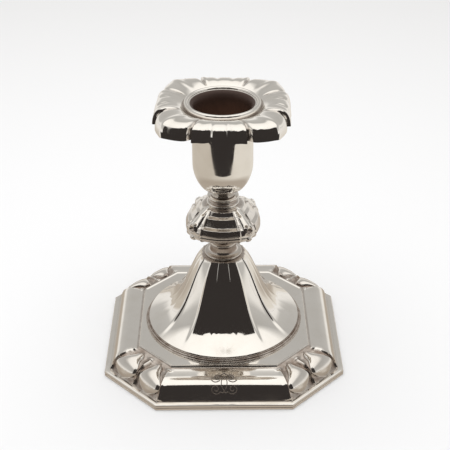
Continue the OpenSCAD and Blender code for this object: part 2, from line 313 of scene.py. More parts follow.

# Draws an outline by extruding one point and spins it; place then moves each point of the mesh
# by its mark and azimuth, and the darkening attribute says how dark it is painted there, for dirt and for
# painted shade
def turnedPiece(name, marks, steps, place=None, grimeAndShade=None):
    bpy.ops.object.select_all(action="DESELECT")
    bpy.ops.mesh.primitive_plane_add(size=mm, location=(0, 0, 0))
    piece = bpy.context.object
    piece.name = name
    piece.data.name = name
    bpy.ops.object.mode_set(mode="EDIT")
    bpy.ops.mesh.select_all(action="SELECT")
    bpy.ops.mesh.merge(type="CENTER")
    bpy.ops.transform.translate(value=(marks[0]["r"] * mm, 0, marks[0]["z"] * mm))
    for a, b in zip(marks, marks[1:]):
        step = ((b["r"] - a["r"]) * mm, 0, (b["z"] - a["z"]) * mm)
        bpy.ops.mesh.extrude_vertices_move(TRANSFORM_OT_translate={"value": step})
    bpy.ops.mesh.select_all(action="SELECT")
    bpy.ops.mesh.remove_doubles(threshold=making["lineWeld"])
    bpy.ops.mesh.spin(steps=steps, angle=2 * math.pi, center=(0, 0, 0), axis=(0, 0, 1))
    bpy.ops.mesh.select_all(action="SELECT")
    bpy.ops.mesh.remove_doubles(threshold=making["turnWeld"])
    bpy.ops.mesh.normals_make_consistent(inside=False)
    bpy.ops.object.mode_set(mode="OBJECT")
    mesh = piece.data
    lookup = {(round(m["r"], 2), round(m["z"], 2)): m for m in marks}
    sootAndShade = mesh.attributes.new("grimeAndShade", "FLOAT", "POINT")
    for vertex in mesh.vertices:
        x, y, z = (c / mm for c in vertex.co)
        mark = nearest(lookup, marks, math.hypot(x, y), z)
        azimuth = math.degrees(math.atan2(x, -y))
        if place:
            vertex.co = [c * mm for c in place(mark, azimuth)]
        sootAndShade.data[vertex.index].value = grimeAndShade(mark, azimuth) if grimeAndShade else 0.0
    mesh.update()
    bpy.ops.object.select_all(action="DESELECT")
    piece.select_set(True)
    bpy.context.view_layer.objects.active = piece
    bpy.ops.object.shade_smooth_by_angle(angle=math.radians(making["smooth"]))
    return piece


# The mark that a point of the spun mesh came from
def nearest(lookup, marks, radius, z):
    for dr in (0, 0.01, -0.01):
        for dz in (0, 0.01, -0.01):
            found = lookup.get((round(radius + dr, 2), round(z + dz, 2)))
            if found:
                return found
    return min(marks, key=lambda m: abs(m["r"] - radius) + abs(m["z"] - z))


# Azimuths count in degrees from the front, towards +X; each quarter has a side or panel in its middle

def quarterOf(azimuth):
    quarter = math.floor((azimuth + 45) / 90)
    return quarter, azimuth - 90 * quarter


# The angle from the middle of the nearest quarter
def fold(azimuth):
    return abs((azimuth + 405) % 90 - 45)


def onCircle(radius, azimuth, z):
    a = math.radians(azimuth)
    return radius * math.sin(a), -radius * math.cos(a), z


# The eight-sided foot: half is its half width, side half of a long side, and share the azimuth that
# half a long side takes, so that the cut corners get most of the steps

foot = {"half": 51.0, "side": 28.1, "share": 15, "wireHigh": 2.6, "wireSteps": 120, "ledge": 2.1,
        "border": 14.9, "plate": 11.05, "lip": 0.2, "lipWide": 1.2, "hole": 31.45, "sheet": 0.7,
        "steps": 400, "slope": (0.341, 0.8875), "crown": 7.4, "crownDrop": 0.75, "roll": 6.466,
        "rollStart": 21, "borderShare": 0.72}

# Gadroons: span is the azimuth of half of one; widths are shares of that, and places are shares of the way
# up the border
pod = {"span": 15, "high": 1.45, "ridge": 1.0, "ridgeFall": 2.6, "valley": 0.9, "edge": 0.73, "wide": 0.9,
       "narrow": 0.4, "least": 0.06, "thin": 0.04, "first": 0.04, "last": 0.955, "widest": 0.36,
       "widening": 0.32, "narrowing": 0.5, "tip": 0.80, "tipLong": 0.16}

# How dark the foot is painted: the wire, valley and pod values are tarnish and dull silver; the lip values
# and the pod tip value are painted shade in the creases by the lip, and the pod foot value a painted dark
# reflection at each gadroon's lower end
footSootAndShade = {"wire": 0.7, "lip": 0.55, "lipCornerShade": 0.95, "valley": 1.0, "pod": 0.16, "podFootDarkReflection": 0.4,
            "podTipShade": 0.8}

# A point on the octagon of half width w and half side; cut is the share along a cut corner if it is known
def onOctagon(w, side, azimuth, raised=0.0, cut=None):
    quarter, b = quarterOf(azimuth)
    if abs(b) <= foot["share"]:
        x, y = side * b / foot["share"], -w
    else:
        s = (abs(b) - foot["share"]) / (45 - foot["share"]) / 2 if cut is None else cut
        x, y = mix(side, w, s), -mix(w, side, s)
        x, y = x + raised * math.sqrt(0.5), y - raised * math.sqrt(0.5)
        x = math.copysign(x, b)
    a = math.radians(90 * quarter)
    return x * math.cos(a) - y * math.sin(a), x * math.sin(a) + y * math.cos(a)


def onFoot(w, azimuth, raised=0.0, cut=None):
    return onOctagon(w, foot["side"] - (foot["half"] - w) * (math.sqrt(2) - 1), azimuth, raised, cut)


def borderLine():
    half, wire, roll = foot["half"] - foot["ledge"], foot["wireHigh"], foot["roll"]
    outer, top = half - foot["crown"], foot["plate"] - foot["crownDrop"]
    slope = [(half - foot["slope"][0] * i, wire + foot["slope"][1] * i) for i in range(4)]
    rise = [*slope, *arc((outer, top - roll), roll, foot["rollStart"], 90, 16)]
    lipX, lipZ = foot["half"] - foot["border"], foot["plate"] + foot["lip"]
    hollow = smoothLine([(outer, top), (outer - 1.6, top + 0.02), (outer - 3.2, top + 0.08),
                         (lipX + 0.9, top + 0.22), (lipX + 0.35, top + 0.4)], 5)
    lip = [(lipX + 0.12, lipZ - 0.12), (lipX, lipZ), (lipX - 0.35, lipZ), (lipX - 0.55, lipZ - 0.1),
           (lipX - 0.75, foot["plate"]), (lipX - foot["lipWide"], foot["plate"])]
    flat = [(mix(lipX - foot["lipWide"], foot["hole"], i / 4), foot["plate"]) for i in range(1, 5)]
    return [*rise, *hollow[1:], *lip, *flat]


# Half width of a gadroon at share t from the ledge to the lip
def podWidth(t):
    least, wide, widest = pod["least"], pod["wide"], pod["widest"]
    if t < pod["first"] or t > pod["last"]:
        return least
    if t < widest:
        return max(pod["thin"], wide * math.sqrt(1 - ((widest - t) / pod["widening"]) ** 2))
    taper = mix(wide, pod["narrow"], ease((t - widest) / pod["narrowing"]))
    return max(least, taper * math.sqrt(max(0.0, 1 - max(0, (t - pod["tip"]) / pod["tipLong"]) ** 2)))


# Place across a gadroon at angle b from a long side's middle: 0 and 2 are its edges, 1 its crest
def podStep(b):
    return (b - foot["share"]) / pod["span"]


def footPlace(mark, azimuth):
    w, z = mark["r"], mark["z"]
    b = abs(quarterOf(azimuth)[1])
    t = mark["t"] / foot["borderShare"]
    cut = None
    raised = 0.0
    if b > foot["share"] and t < 1:
        step = podStep(b)
        ends = min(t, 1 - t)
        wide = podWidth(t)
        inner = 1 - min(1.0, step if step <= 1 else 2 - step)
        if inner < pod["edge"]:
            c = wide * math.sin(math.pi / 2 * inner / pod["edge"])
            height = pod["high"] * math.sqrt(max(0.0, 1 - (c / wide) ** 2)) * ease(ends * 9)
        else:
            c = mix(wide, 1, (inner - pod["edge"]) / (1 - pod["edge"]))
            rim = (1 - c) / max(0.05, 1 - wide)
            height = pod["ridge"] * max(0.0, 1 - rim * pod["ridgeFall"]) * ease(ends * 14)
        height -= pod["valley"] * ease(ends * 7)
        place = (1 - c) / 2 if step <= 1 else (1 + c) / 2
        cut = place / 2
        raised = height * mark["out"]
        z += height * mark["up"]
    edge = foot["half"] - foot["border"] - foot["lipWide"]
    if w < edge:  # the flat plate goes from the octagon to its round hole
        x, y = onFoot(edge, azimuth)
        share = (edge - w) / (edge - foot["hole"])
        around = math.hypot(x, y)
        return mix(x, x * foot["hole"] / around, share), mix(y, y * foot["hole"] / around, share), z
    x, y = onFoot(w, azimuth, raised, cut)
    return x, y, z


def footGrimeAndShade(mark, azimuth):
    w, z = mark["r"], mark["z"]
    t = mark["t"] / foot["borderShare"]
    b = fold(azimuth)
    sootAndShade = 0.0
    if w > foot["half"] - foot["ledge"] - 0.3 and z < foot["wireHigh"] + 0.6:
        sootAndShade = footSootAndShade["wire"]
    lipX = foot["half"] - foot["border"]
    # painted shade in the crease beside the lip, darker at the cut corners
    if lipX + 0.1 < w < lipX + 1.3:
        sootAndShade = max(sootAndShade, footSootAndShade["lip"] if b <= foot["share"] else footSootAndShade["lipCornerShade"])
    if b > foot["share"] and 0.02 < t < 1:
        step = podStep(b)
        inner = 1 - (step if step <= 1 else 2 - step)
        if 0.64 < inner < 0.95:
            sootAndShade = max(sootAndShade, footSootAndShade["valley"])
        elif inner <= 0.64:
            # painted dark reflection at each gadroon's lower end, and painted shade in the small hollow at
            # its tip
            low = footSootAndShade["podFootDarkReflection"] * ease((0.3 - t) / 0.25)
            high = footSootAndShade["podTipShade"] * ease((t - 0.8) / 0.1)
            sootAndShade = max(sootAndShade, footSootAndShade["pod"], low, high)
    return sootAndShade


def wirePlace(mark, azimuth):
    return (*onFoot(mark["r"], azimuth), mark["z"])


# Dirt in the wire's fine line
def wireGrime(mark, azimuth):
    return 1.0 if mark["r"] < foot["half"] - 0.2 and 1 < mark["z"] < 1.4 else 0.0


def buildFoot():
    base = turnedPiece("baseShell", walled(borderLine(), foot["sheet"]), foot["steps"], footPlace, footGrimeAndShade)
    half, wire, inner = foot["half"], foot["wireHigh"], foot["half"] - foot["ledge"] - 1.5
    outline = [(inner, 0), (half - 0.3, 0), (half - 0.05, 0.12), (half, 0.3), (half, 1.0),
               (half - 0.28, 1.12), (half - 0.28, 1.3), (half, 1.42),
               *arc((half - 0.5, wire - 0.5), 0.5, 0, 90, 5), (half - 1.6, wire), (half - 2.3, wire),
               (inner, wire), (inner, 0)]
    return base, turnedPiece("footWire", measured(outline), foot["wireSteps"], wirePlace, wireGrime)


# The felt under the foot, cut as an octagon

felt = {"inset": 4.2, "thick": 0.8, "edge": 0.18, "rings": 8, "steps": 120}

def buildFelt():
    w, thick, edge = foot["half"] - felt["inset"], felt["thick"], felt["edge"]
    side = foot["side"] - felt["inset"] * (math.sqrt(2) - 1)
    rings = [w * k / felt["rings"] for k in range(felt["rings"])]
    outline = [*[(r, 0.0) for r in rings], (w - edge, 0), (w, edge), (w, thick - edge), (w - edge, thick),
               *[(r, thick) for r in reversed(rings)]]

    def place(mark, azimuth):
        return (*onOctagon(mark["r"], mark["r"] * side / w, azimuth), mark["z"])

    piece = turnedPiece("feltPad", measured(outline), felt["steps"], place)
    cut = w - side
    (4 * w * w - 2 * cut * cut) * mm * mm
    return piece


# The fluted column and its ring; drop gives the three parts of the radius's fall from the skirt up

column = {"ring": 34.4, "ringSteps": 180, "skirt": 33.0, "seat": 12.6, "high": 32.3, "top": 9.2,
          "sheet": 0.7, "hole": 3.3, "flute": 0.09, "ridge": 31.5, "rib": 9, "ribWide": 4.5,
          "ribFirst": 0.05, "ribLast": 0.22, "steps": 320, "drop": (0.446, 0.449, 0.11), "bend": 4.4,
          "flare": 8}

def columnRadius(t):
    quick, even, late = column["drop"]
    drop = quick * (1 - math.exp(-column["bend"] * t)) + even * t + late * t ** column["flare"]
    return column["skirt"] - (column["skirt"] - column["top"]) * drop


def columnPlace(mark, azimuth):
    t = (mark["z"] - column["seat"]) / column["high"]
    depth = column["flute"] * ease(t * 5)
    b = fold(azimuth)
    if b < column["ridge"]:
        share = b / column["ridge"]
        scale = 1 - depth * (1 - share ** 2)
        rib = column["ribFirst"] + column["ribLast"] * ease((t - 0.4) / 0.5)
        scale += rib * depth * max(0.0, 1 - ((b - column["rib"]) / column["ribWide"]) ** 2)
    else:
        c = (45 - b) / 15
        scale = 1 - depth * (0.3 + 0.3 * c * c) * ease((b - column["ridge"]) / 4)
    return onCircle(mark["r"] * scale, azimuth, mark["z"])


def columnGrime(mark, azimuth):
    t = (mark["z"] - column["seat"]) / column["high"]
    return 0.8 if t > 0.985 or t < 0.012 else 0.0


# Dirt in the ring's two grooves
def ringGrime(mark, azimuth):
    above = mark["z"] - foot["plate"]
    groove = 0.5 < above < 0.75 or above > 1.1
    return 1.0 if mark["r"] > column["ring"] - 1.5 and groove else 0.45


def buildColumn():
    seat, high, hole = column["seat"], column["high"], column["hole"]
    line = [(column["skirt"], seat), (column["skirt"], seat + 0.3)]
    for i in range(45):
        t = (i / 44) ** 1.3
        line.append((columnRadius(t * 0.97), seat + 0.7 + (high - 1.5) * t))
    last = line[-1]
    line += arc((last[0] - 0.8, last[1]), 0.8, 0, 90, 5)[1:]
    line.append((hole, seat + high))
    shell = turnedPiece("columnShell", walled(line, column["sheet"]), column["steps"], columnPlace,
                        columnGrime)
    ring, plate, inner = column["ring"], foot["plate"], column["ring"] - 3
    outline = [(inner, plate), (ring - 0.3, plate), *arc((ring - 0.3, plate + 0.3), 0.3, -90, 80, 6),
               (ring - 0.75, plate + 0.62), *arc((ring - 0.85, plate + 0.95), 0.32, -50, 100, 6),
               (ring - 1.25, plate + 1.2), (ring - 1.32, seat - 0.12), (ring - 1.5, seat), (inner, seat),
               (inner, plate)]
    return shell, turnedPiece("domeRing", measured(outline), column["ringSteps"], None, ringGrime)


# Turned collars between the column, the knop and the socket

lowerCollarSizes = {"low": 44.9, "radius": 8.0}
spoolSizes = {"low": 69.4, "radius": 6.8, "high": 3.6}
socketFootSizes = {"low": 73.0, "stem": 4.5, "rimShare": 0.575}
collars = {"hole": 2.6, "steps": 128}

def turnedCollar(name, outline, grimeAndShade):
    hole = collars["hole"]
    points = [(hole, outline[0][1]), *outline, (hole, outline[-1][1]), (hole, outline[0][1])]
    return turnedPiece(name, measured(points), collars["steps"], None, grimeAndShade)


def buildLowerCollar():
    z, r = lowerCollarSizes["low"], lowerCollarSizes["radius"]
    outline = [(r - 0.6, z), *arc((r - 0.5, z + 0.5), 0.5, -70, 90, 7),
               *arc((r - 0.9, z + 2.6), 1.6, -95, -180, 7), (r - 2.5, z + 4.2), (r - 2.9, z + 4.6),
               *arc((r - 2.9, z + 5.3), 0.65, -80, 80, 7), *arc((r - 2.4, z + 7.2), 1.1, -125, -215, 7),
               (r - 3.0, z + 8.5), (5.3, z + 9.2), (5.5, z + 9.6)]

    def grimeAndShade(mark, azimuth):
        hollow = mark["z"] < z + 5 or z + 6 < mark["z"] < z + 8.2
        return 1.0 if mark["r"] < r - 2.3 and hollow else 0.42

    return turnedCollar("lowerCollar", outline, grimeAndShade)


def buildSpool():
    z, r, high = spoolSizes["low"], spoolSizes["radius"], spoolSizes["high"]
    outline = [(r - 0.5, z), *arc((r - 0.42, z + 0.42), 0.42, -80, 80, 7),
               *arc((r - 0.3, z + high / 2), high / 2 - 0.75, -100, -260, 10),
               *arc((r - 0.55, z + high - 0.4), 0.38, -80, 80, 7), (r - 0.9, z + high)]

    def grimeAndShade(mark, azimuth):
        return 0.85 if mark["r"] < r - 0.7 and z + 0.8 < mark["z"] < z + high - 0.8 else 0.15

    return turnedCollar("spoolCollar", outline, grimeAndShade)


def buildSocketFoot():
    z, stem = socketFootSizes["low"], socketFootSizes["stem"]
    rim = socket["radius"] * socketFootSizes["rimShare"]
    flare = [(mix(stem, rim - 0.15, (i / 9) ** 1.2), z + 0.8 + 2.65 * i / 9) for i in range(10)]
    outline = [(4.7, z), *arc((4.7, z + 0.35), 0.35, -75, 80, 6), *flare, (rim - 0.15, z + 3.55),
               *arc((rim, z + 4.0), 0.45, -80, 80, 7), (rim - 0.5, z + 4.5)]

    def grimeAndShade(mark, azimuth):
        groove = mark["z"] < z + 0.6 or z + 3.3 < mark["z"] < z + 3.65 or mark["z"] > z + 4.42
        return 0.9 if groove else 0.1

    return turnedCollar("socketFoot", outline, grimeAndShade)


# The knop: four stepped panels between ribs, and a boss with an eye on each corner of its cone

knop = {"low": 54.5, "girth": 60.0, "top": 69.4, "radius": 16.9, "hole": 3.3, "panel": 0.07, "turn": -5,
        "sheet": 0.7, "ridge": 30, "ridgeHigh": 0.38, "steps": 360, "coneLow": 3, "coneHigh": 5.75,
        "coneWide": 16.0, "coneNarrow": 9.0, "leanOut": 0.635, "leanUp": 0.773, "bodyHigh": 0.95,
        "eyeHigh": 2.3, "eyeSize": 1.45, "eyeRim": 0.75, "eyeSunk": 0.35, "lowBoss": -1.7,
        "lowBossHigh": 0.7, "lowBossSize": 1.4}

def knopScale(b, depth):
    ridge = knop["ridge"]
    if b < ridge:
        return 1 - depth * (1 - 0.55 * (b / ridge) ** 3)
    return 1 - depth * (0.45 - 0.45 * math.sin(math.radians(min(90, 6 * (b - ridge)))))


# Radius of the smooth cone that carries the bosses
def coneRadius(above):
    return mix(knop["coneWide"], knop["coneNarrow"], (above - knop["coneLow"]) / knop["coneHigh"])


# Millimetres around the knop from the middle of a boss
def acrossBoss(b, r):
    return (45 - b) / 45 * math.pi / 4 * r


def knopPlace(mark, azimuth):
    r, z = mark["r"], mark["z"]
    b = fold(azimuth - knop["turn"])
    reach = ease((r - 7.5) / 5)
    above = z - knop["girth"]
    out, up = mark["out"], mark["up"]
    across = acrossBoss(b, r)
    lift = knop["ridgeHigh"] * reach * swell(b, knop["ridge"], 1.0)
    cone = ease((b - knop["ridge"]) / 3) * ease((above - knop["coneLow"]) / 0.3) * ease((r - 8.2) / 1.5)
    if cone > 0 and mark["out"] > 0:
        r = mix(r, coneRadius(above), cone)
        out, up = mix(out, knop["leanOut"], cone), mix(up, knop["leanUp"], cone)
    radius = r * knopScale(b, knop["panel"] * reach)
    if above > 0:
        wide = mix(0.9, 2.2, ease((mark["r"] - 7) / 8))
        body = ease((above - knop["eyeHigh"] + 0.2) / 1.4)
        lift += knop["bodyHigh"] * reach * body * math.sqrt(max(0.0, 1 - (across / wide) ** 2))
        eye = math.hypot(across, (above - knop["eyeHigh"]) * 1.25) / knop["eyeSize"]
        lift += knop["eyeRim"] * swell(eye, 1.0, 0.3) * reach
        lift -= knop["eyeSunk"] * max(0.0, 1 - (eye / 0.8) ** 2)
    else:
        boss = math.hypot(across, (above - knop["lowBoss"]) * 1.2) / knop["lowBossSize"]
        lift += knop["lowBossHigh"] * reach * math.sqrt(max(0.0, 1 - boss * boss))
    radius += lift * out
    return onCircle(radius, azimuth, z + lift * up)


def knopGrime(mark, azimuth):
    r = mark["r"]
    b = fold(azimuth - knop["turn"])
    above = mark["z"] - knop["girth"]
    sootAndShade = 0.25
    if r < 8 or r > 9 and 1.2 < abs(b - knop["ridge"]) < 2.6:
        sootAndShade = 0.7
    eye = math.hypot(acrossBoss(b, r), (above - knop["eyeHigh"]) * 1.1) / knop["eyeSize"]
    if eye < 0.85:
        sootAndShade = 0.7
    if b < knop["ridge"] - 2 and -6 < above < 3.1:
        sootAndShade = 0.65
    elif b > knop["ridge"] + 3 and above > knop["coneLow"]:
        sootAndShade = 0.05
    return sootAndShade


def buildKnop():
    r, low, girth, top, hole = (knop[k] for k in ("radius", "low", "girth", "top", "hole"))
    lowerLine = [(hole, low), (5.7, low), (6.2, low + 0.15),
                 *smoothLine([(7.0, low + 0.6), (9, low + 1.2), (r * 0.66, low + 1.75)], 4),
                 (r * 0.68, low + 2.0),
                 *smoothLine([(r * 0.74, low + 2.15), (r * 0.88, low + 2.7), (r * 0.97, low + 3.5),
                              (r, low + 4.4)], 5),
                 (r, girth - 0.35), (r - 0.12, girth - 0.12), (r - 0.3, girth)]
    upperLine = [(r - 0.3, girth), (r, girth + 0.12),
                 *smoothLine([(r, girth + 0.4), (r - 0.2, girth + 1.6), (r - 0.95, girth + 3.1)], 6),
                 (r - 1.15, girth + 3.25), (r - 2.4, girth + 3.7),
                 *smoothLine([(r - 2.6, girth + 3.85), (r - 3.75, girth + 5.2), (r - 4.8, girth + 6.55)], 6),
                 (r - 4.95, girth + 6.7), (r - 6.4, girth + 7.15),
                 *smoothLine([(r - 6.6, girth + 7.3), (r - 7.2, girth + 8.0), (r - 7.8, girth + 8.75)], 5),
                 (r - 8.0, girth + 8.9), (7.7, 69.2), (7.1, 69.35), (6.6, top), (hole, top)]
    return [turnedPiece(name, walled(line, knop["sheet"]), knop["steps"], knopPlace, knopGrime)
            for name, line in (("knopLower", lowerLine), ("knopUpper", upperLine))]


# The egg-shaped socket; bowl is the height of its rounded part

socket = {"low": 77.5, "bowl": 10.5, "rim": 110.3, "radius": 12.45, "inner": 11.78, "floor": 78.17,
          "hole": 2.6, "egg": 1.41, "steps": 160}

def bowlRadius(z, r):
    return r * math.sqrt(1 - ((socket["bowl"] - z) / (socket["egg"] * socket["bowl"])) ** 2)


def socketGrime(mark, azimuth):
    return 0.8 if mark["z"] < socket["low"] + 0.25 else 0.0


def buildSocket():
    low, rim, r, inner, bowl, hole = (socket[k] for k in ("low", "rim", "radius", "inner", "bowl", "hole"))
    heights = [bowl * (i / 28) ** 1.2 for i in range(29)]
    outside = [(bowlRadius(h, r), low + h) for h in heights]
    inside = [(bowlRadius(h, inner), low + h) for h in reversed(heights[4:])]
    outline = [(hole, low), *outside, (r, 94), (r, 101), (r, rim - 2.3), (r - 0.05, rim - 2.2),
               *arc((r, rim - 1.5), 0.65, -85, 85, 8), (r, rim - 0.6), (r, rim - 0.1), (r - 0.1, rim),
               (inner, rim), *inside, (bowlRadius(heights[4], inner) - 0.6, socket["floor"]),
               (hole, socket["floor"]), (hole, low)]
    return turnedPiece("socketCup", measured(outline), socket["steps"], None, socketGrime)


# The loose nozzle: hollow is the level where the pan meets the sleeve

nozzle = {"bore": 11.2, "wall": 0.5, "floor": 88.5, "mouth": 13.65, "flareFrom": 110.9, "rim": 110.32,
          "top": 115.2, "bead": 1.85, "hollow": 113.2, "steps": 160}

# The pan's angles count from the middle of a side: point, notch and dip are where a petal ends,
# where the next begins and where it sinks between them; the outs are how far each stands out
pan = {"sheet": 0.6, "turn": -3, "steps": 360, "point": 21.5, "notch": 23.8, "dip": 24.3, "roll": 8,
       "high": 115.77, "sideOut": 0.35, "bulgeAt": 14, "pointOut": 1.75, "notchOut": 0.8,
       "cornerOut": 4.6, "cornerBulge": 0.45,
       "spacing": [(0, 0), (20, 21.5), (24, 23.4), (29, 27.0), (45, 45)],
       "line": [(27.4, 109.2), (27.3, 110.4), (27.05, 111.7), (26.6, 113.0), (25.9, 114.1), (24.6, 114.9),
                (22.6, 115.35), (20.4, 115.3), (18.4, 114.7), (17.1, 114.0), (16.2, 113.4), (15.4, 113.2)]}

# The pan's steps crowd where one petal laps over the next
def panAngle(azimuth):
    quarter, b = quarterOf(azimuth)
    for (a0, b0), (a1, b1) in zip(pan["spacing"], pan["spacing"][1:]):
        if abs(b) <= a1:
            return 90 * quarter + math.copysign(mix(b0, b1, (abs(b) - a0) / (a1 - a0)), b)
    return azimuth


# How far the rim stands out past its round line
def panReach(b):
    point, notch = pan["point"], pan["notch"]
    if b < point:
        return pan["pointOut"] * (b / point) ** 4.0 + pan["sideOut"] * swell(b, pan["bulgeAt"], 3.4)
    if b < notch:
        return mix(pan["pointOut"], pan["notchOut"], ease((b - point) / (notch - point)))
    c = (b - notch) / (45 - notch)
    return mix(pan["notchOut"], pan["cornerOut"], c ** 1.05) + pan["cornerBulge"] * math.sin(math.pi * c)


def panPlace(mark, azimuth):
    r, z = mark["r"], mark["z"]
    azimuth = panAngle(azimuth)
    b = fold(azimuth)
    reach = ease((r - 15.6) / 7.6)
    point = pan["point"]
    front = max(0.0, mark["out"])
    lift = 0.28 * swell(b, point, 2.6 if b < point else 1.3)
    lift -= (0.6 + 1.4 * front) * swell(b, pan["dip"], 2.1)
    lift -= (0.22 + 0.45 * front) * swell(b, pan["roll"], 2.2) * ease((r - 19) / 4)
    lift += 0.35 * swell(b, 45, 3.2)
    lift *= ease((r - 16.2) / 5)
    radius = r + panReach(b) * reach + lift * mark["out"]
    return onCircle(radius, azimuth + pan["turn"], min(z + lift * mark["up"], pan["high"]))


def panGrime(mark, azimuth):
    r = mark["r"]
    sootAndShade = 0.0
    if r < 16.4:
        sootAndShade = 0.75
    if r > 18 and abs(fold(panAngle(azimuth)) - pan["dip"]) < 1.6:
        sootAndShade = 0.5
    if mark["up"] < -0.3:
        sootAndShade = 0.1
    return sootAndShade


def buildNozzle():
    names = ("bore", "wall", "floor", "mouth", "rim", "hollow")
    bore, wall, floor, mouth, rim, hollow = (nozzle[k] for k in names)
    beadZ = nozzle["top"] - nozzle["bead"] / 2
    flare = [(bore + (mouth - bore) * (1 - math.cos(a)), mix(nozzle["flareFrom"], beadZ, math.sin(a)))
             for a in [math.radians(7.5 * i) for i in range(12, -1, -1)]]
    outline = [(0, floor - wall), (bore + wall - 0.3, floor - wall), (bore + wall, floor - wall + 0.3),
               (bore + wall, 100), (bore + wall, rim), (12.45, rim), (mouth + wall, hollow - pan["sheet"]),
               (mouth + wall, beadZ), *flare, (bore, 106), (bore, 100), (bore, 94), (bore, floor + 0.3),
               (bore - 0.3, floor), (0, floor)]

    def sleeveGrime(mark, azimuth):
        inside = mark["r"] < bore + 0.2 or mark["z"] > 110.6 and mark["r"] < mouth - 0.02
        return 1.0 if floor - 0.1 < mark["z"] < beadZ - 0.05 and inside else 0.1

    def beadGrime(mark, azimuth):
        return 0.8 if mark["z"] < hollow + 0.15 else 0.0

    sleeve = turnedPiece("nozzleSleeve", measured(outline), nozzle["steps"], None, sleeveGrime)
    beadR = nozzle["bead"] / 2
    skirt = mouth + wall + 0.05
    beadLine = [(mouth, beadZ), *arc((mouth + beadR, beadZ), beadR, 165, 0, 12), (mouth + 2 * beadR, hollow),
                (skirt, hollow), (skirt, beadZ), (mouth, beadZ)]
    bead = turnedPiece("nozzleBead", measured(beadLine), nozzle["steps"], None, beadGrime)
    panLine = [*smoothLine(pan["line"], 4), (skirt, hollow)]
    dish = turnedPiece("nozzlePan", walled(panLine, pan["sheet"]), pan["steps"], panPlace, panGrime)
    return sleeve, bead, dish


# A symmetrical scroll of fine wires on the front of the border; middle is its place along the rise

scroll = {"wire": 0.2, "lift": 0.03, "middle": 8.1, "scale": 1.2, "curls": [
    {"centre": (2.9, -2.3), "size": 1.75, "start": -150, "turns": 1.45, "way": 1},
    {"centre": (2.2, 2.0), "size": 1.35, "start": 130, "turns": 1.35, "way": -1}],
    "stems": [[(1.38, -3.15), (0.55, -3.5), (0, -3.1)], [(1.33, 3.03), (0.6, 3.6), (0, 4.3)],
              [(0.0, -3.1), (0.85, -1.2), (0.95, 0.4), (0.5, 1.9), (0, 2.6)],
              [(1.5, 0.75), (2.6, 0.25), (3.6, 0.35), (4.4, 1.0)]]}

# A place on the border: across along the front, climb along its rise
def onBorder(across, climb, line):
    walked = 0.0
    for a, b in zip(line, line[1:]):
        long = math.hypot(b[0] - a[0], b[1] - a[1])
        if long > 0 and walked + long >= climb:
            share = (climb - walked) / long
            out, up = (b[1] - a[1]) / long, -(b[0] - a[0]) / long
            w = mix(a[0], b[0], share) + out * scroll["lift"]
            z = mix(a[1], b[1], share) + up * scroll["lift"]
            return across, -w, z
        walked += long
    return across, -line[-1][0], line[-1][1]


def curlLine(curl):
    line = []
    for i in range(41):
        share = i / 40
        a = math.radians(curl["start"] + curl["way"] * 360 * curl["turns"] * share)
        size = curl["size"] * (1 - 0.8 * share)
        line.append((curl["centre"][0] + size * math.cos(a), curl["centre"][1] + size * math.sin(a)))
    return line


def buildScroll():
    line = borderLine()
    strokes = [curlLine(curl) for curl in scroll["curls"]]
    strokes += [smoothLine(stem, 8) for stem in scroll["stems"]]
    strokes += [[(-x, y) for x, y in stroke] for stroke in strokes]
    curve = bpy.data.curves.new("borderScroll", "CURVE")
    curve.dimensions = "3D"
    curve.bevel_depth = scroll["wire"] * mm
    curve.bevel_resolution = 2
    curve.use_fill_caps = True
    for stroke in strokes:
        spline = curve.splines.new("POLY")
        spline.points.add(len(stroke) - 1)
        for point, (x, y) in zip(spline.points, stroke):
            spot = onBorder(x * scroll["scale"], scroll["middle"] + y * scroll["scale"], line)
            point.co = (*[c * mm for c in spot], 1)
    piece = bpy.data.objects.new("borderScroll", curve)
    scene.collection.objects.link(piece)
    bpy.ops.object.select_all(action="DESELECT")
    piece.select_set(True)
    bpy.context.view_layer.objects.active = piece
    bpy.ops.object.convert(target="MESH")
    return bpy.context.object


# Finishes

# The soot colour serves both the brown tarnish in hollows and the painted shade on the foot
silver = {"clean": (0.88, 0.855, 0.82, 1), "dull": (0.74, 0.70, 0.64, 1), "sootAndShade": (0.20, 0.13, 0.09, 1),
          "smooth": 0.04}
chased = {"light": (0.27, 0.24, 0.22, 1), "dark": (0.20, 0.175, 0.16, 1), "rough": 0.42}
tarnish = {"light": (0.17, 0.088, 0.058, 1), "dark": (0.105, 0.056, 0.038, 1),
           "mouth": (0.05, 0.03, 0.024, 1), "mouthFrom": 0.104, "mouthTo": 0.1125, "gloss": 0.25}
steel = {"light": (0.46, 0.46, 0.47, 1), "dark": (0.30, 0.28, 0.26, 1), "rough": 0.32}
pitch = {"dark": (0.055, 0.032, 0.02, 1), "light": (0.16, 0.11, 0.075, 1), "rough": 0.6}
cloth = {"dark": (0.012, 0.045, 0.026, 1), "light": (0.035, 0.11, 0.06, 1), "worn": (0.03, 0.07, 0.04, 1),
         "rough": 0.95, "sheen": 0.5}

